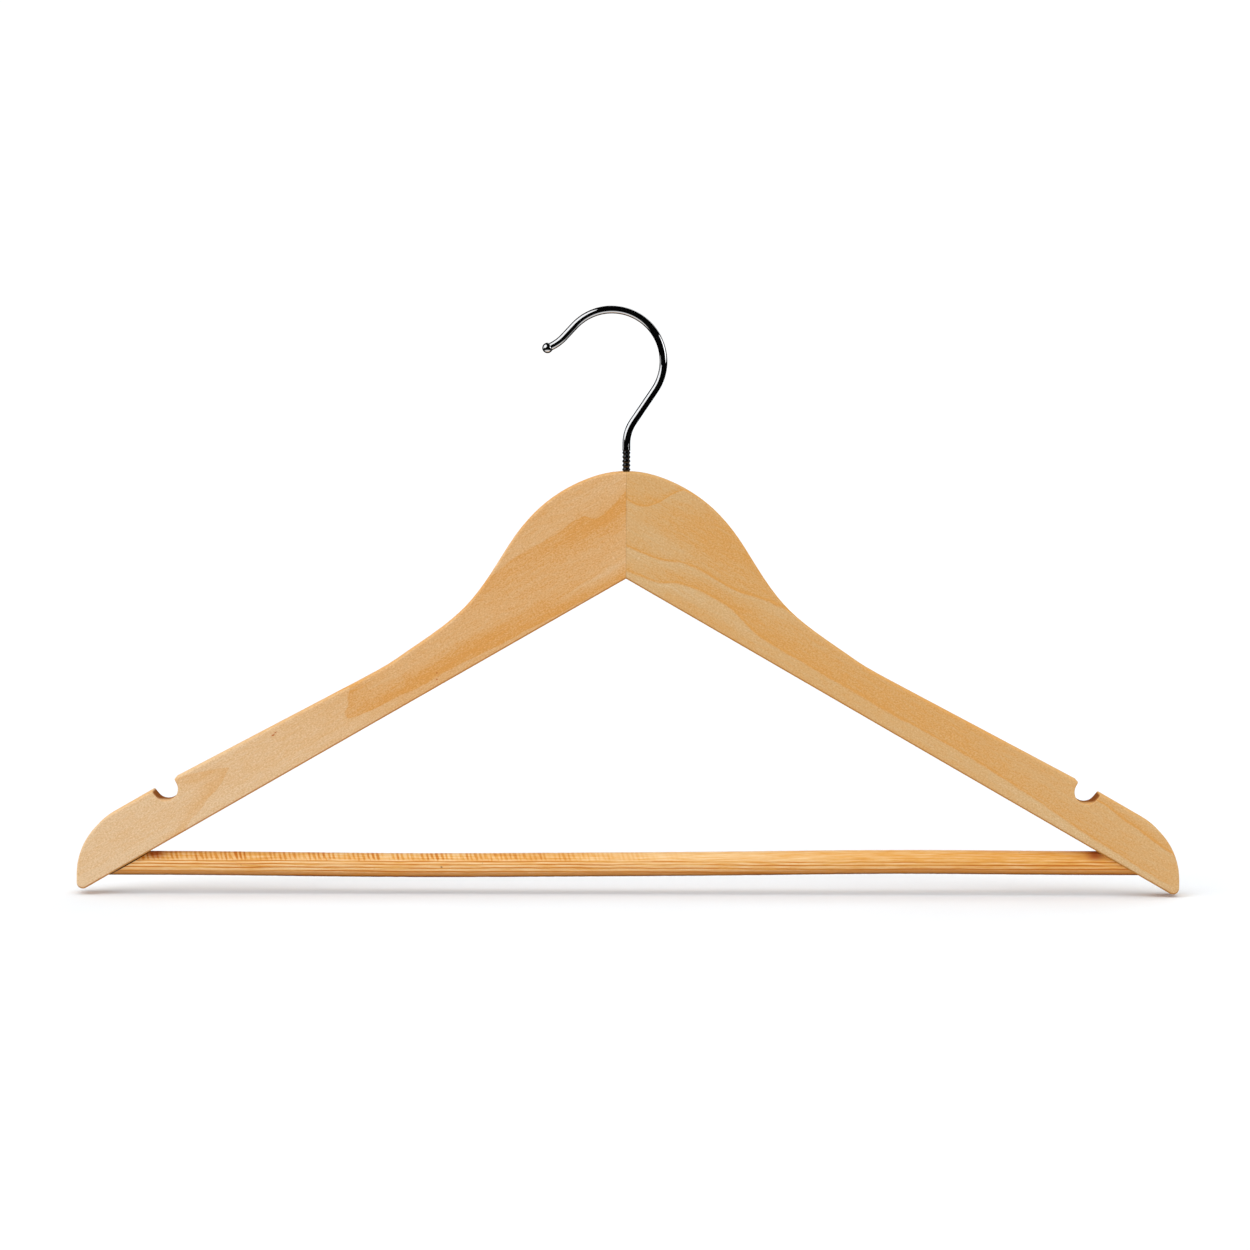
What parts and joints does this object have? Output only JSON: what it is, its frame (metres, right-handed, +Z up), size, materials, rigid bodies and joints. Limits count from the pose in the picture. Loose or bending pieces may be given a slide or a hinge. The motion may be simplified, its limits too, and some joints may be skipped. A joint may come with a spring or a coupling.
{
  "type": "clothes hanger",
  "caption": "Flat wooden clothes hanger with strap notches, a round trouser bar and a swivelling chrome wire hook.",
  "frame": {"origin": "on the hook's swivel axis, at the inside top of the hook, where it rests on the rail", "axes": "+X along the hanger to the right as seen from the front, +Y from front to back through its thickness, +Z up"},
  "size_m": [0.4493, 0.012, 0.2386],
  "materials": {
    "arm_wood": "clear satin lacquer on pale golden hardwood",
    "bar_wood": "clear satin lacquer on orange softwood dowel",
    "hook_chrome": "bright polished plating on steel wire",
    "nail_steel": "plain bright steel"
  },
  "bodies": {
    "hook": {"hook": "hook_chrome"},
    "hanger_body": {"left_arm": "arm_wood", "right_arm": "arm_wood", "trouser_bar": "bar_wood", "left_bar_nail": "nail_steel", "right_bar_nail": "nail_steel"}
  },
  "joints": [
    {"name": "hook_swivel", "type": "hinge", "parent": "hook", "child": "hanger_body", "pos_m": [0, 0, -0.075], "axis": [0, 0, 1], "continuous": true}
  ]
}
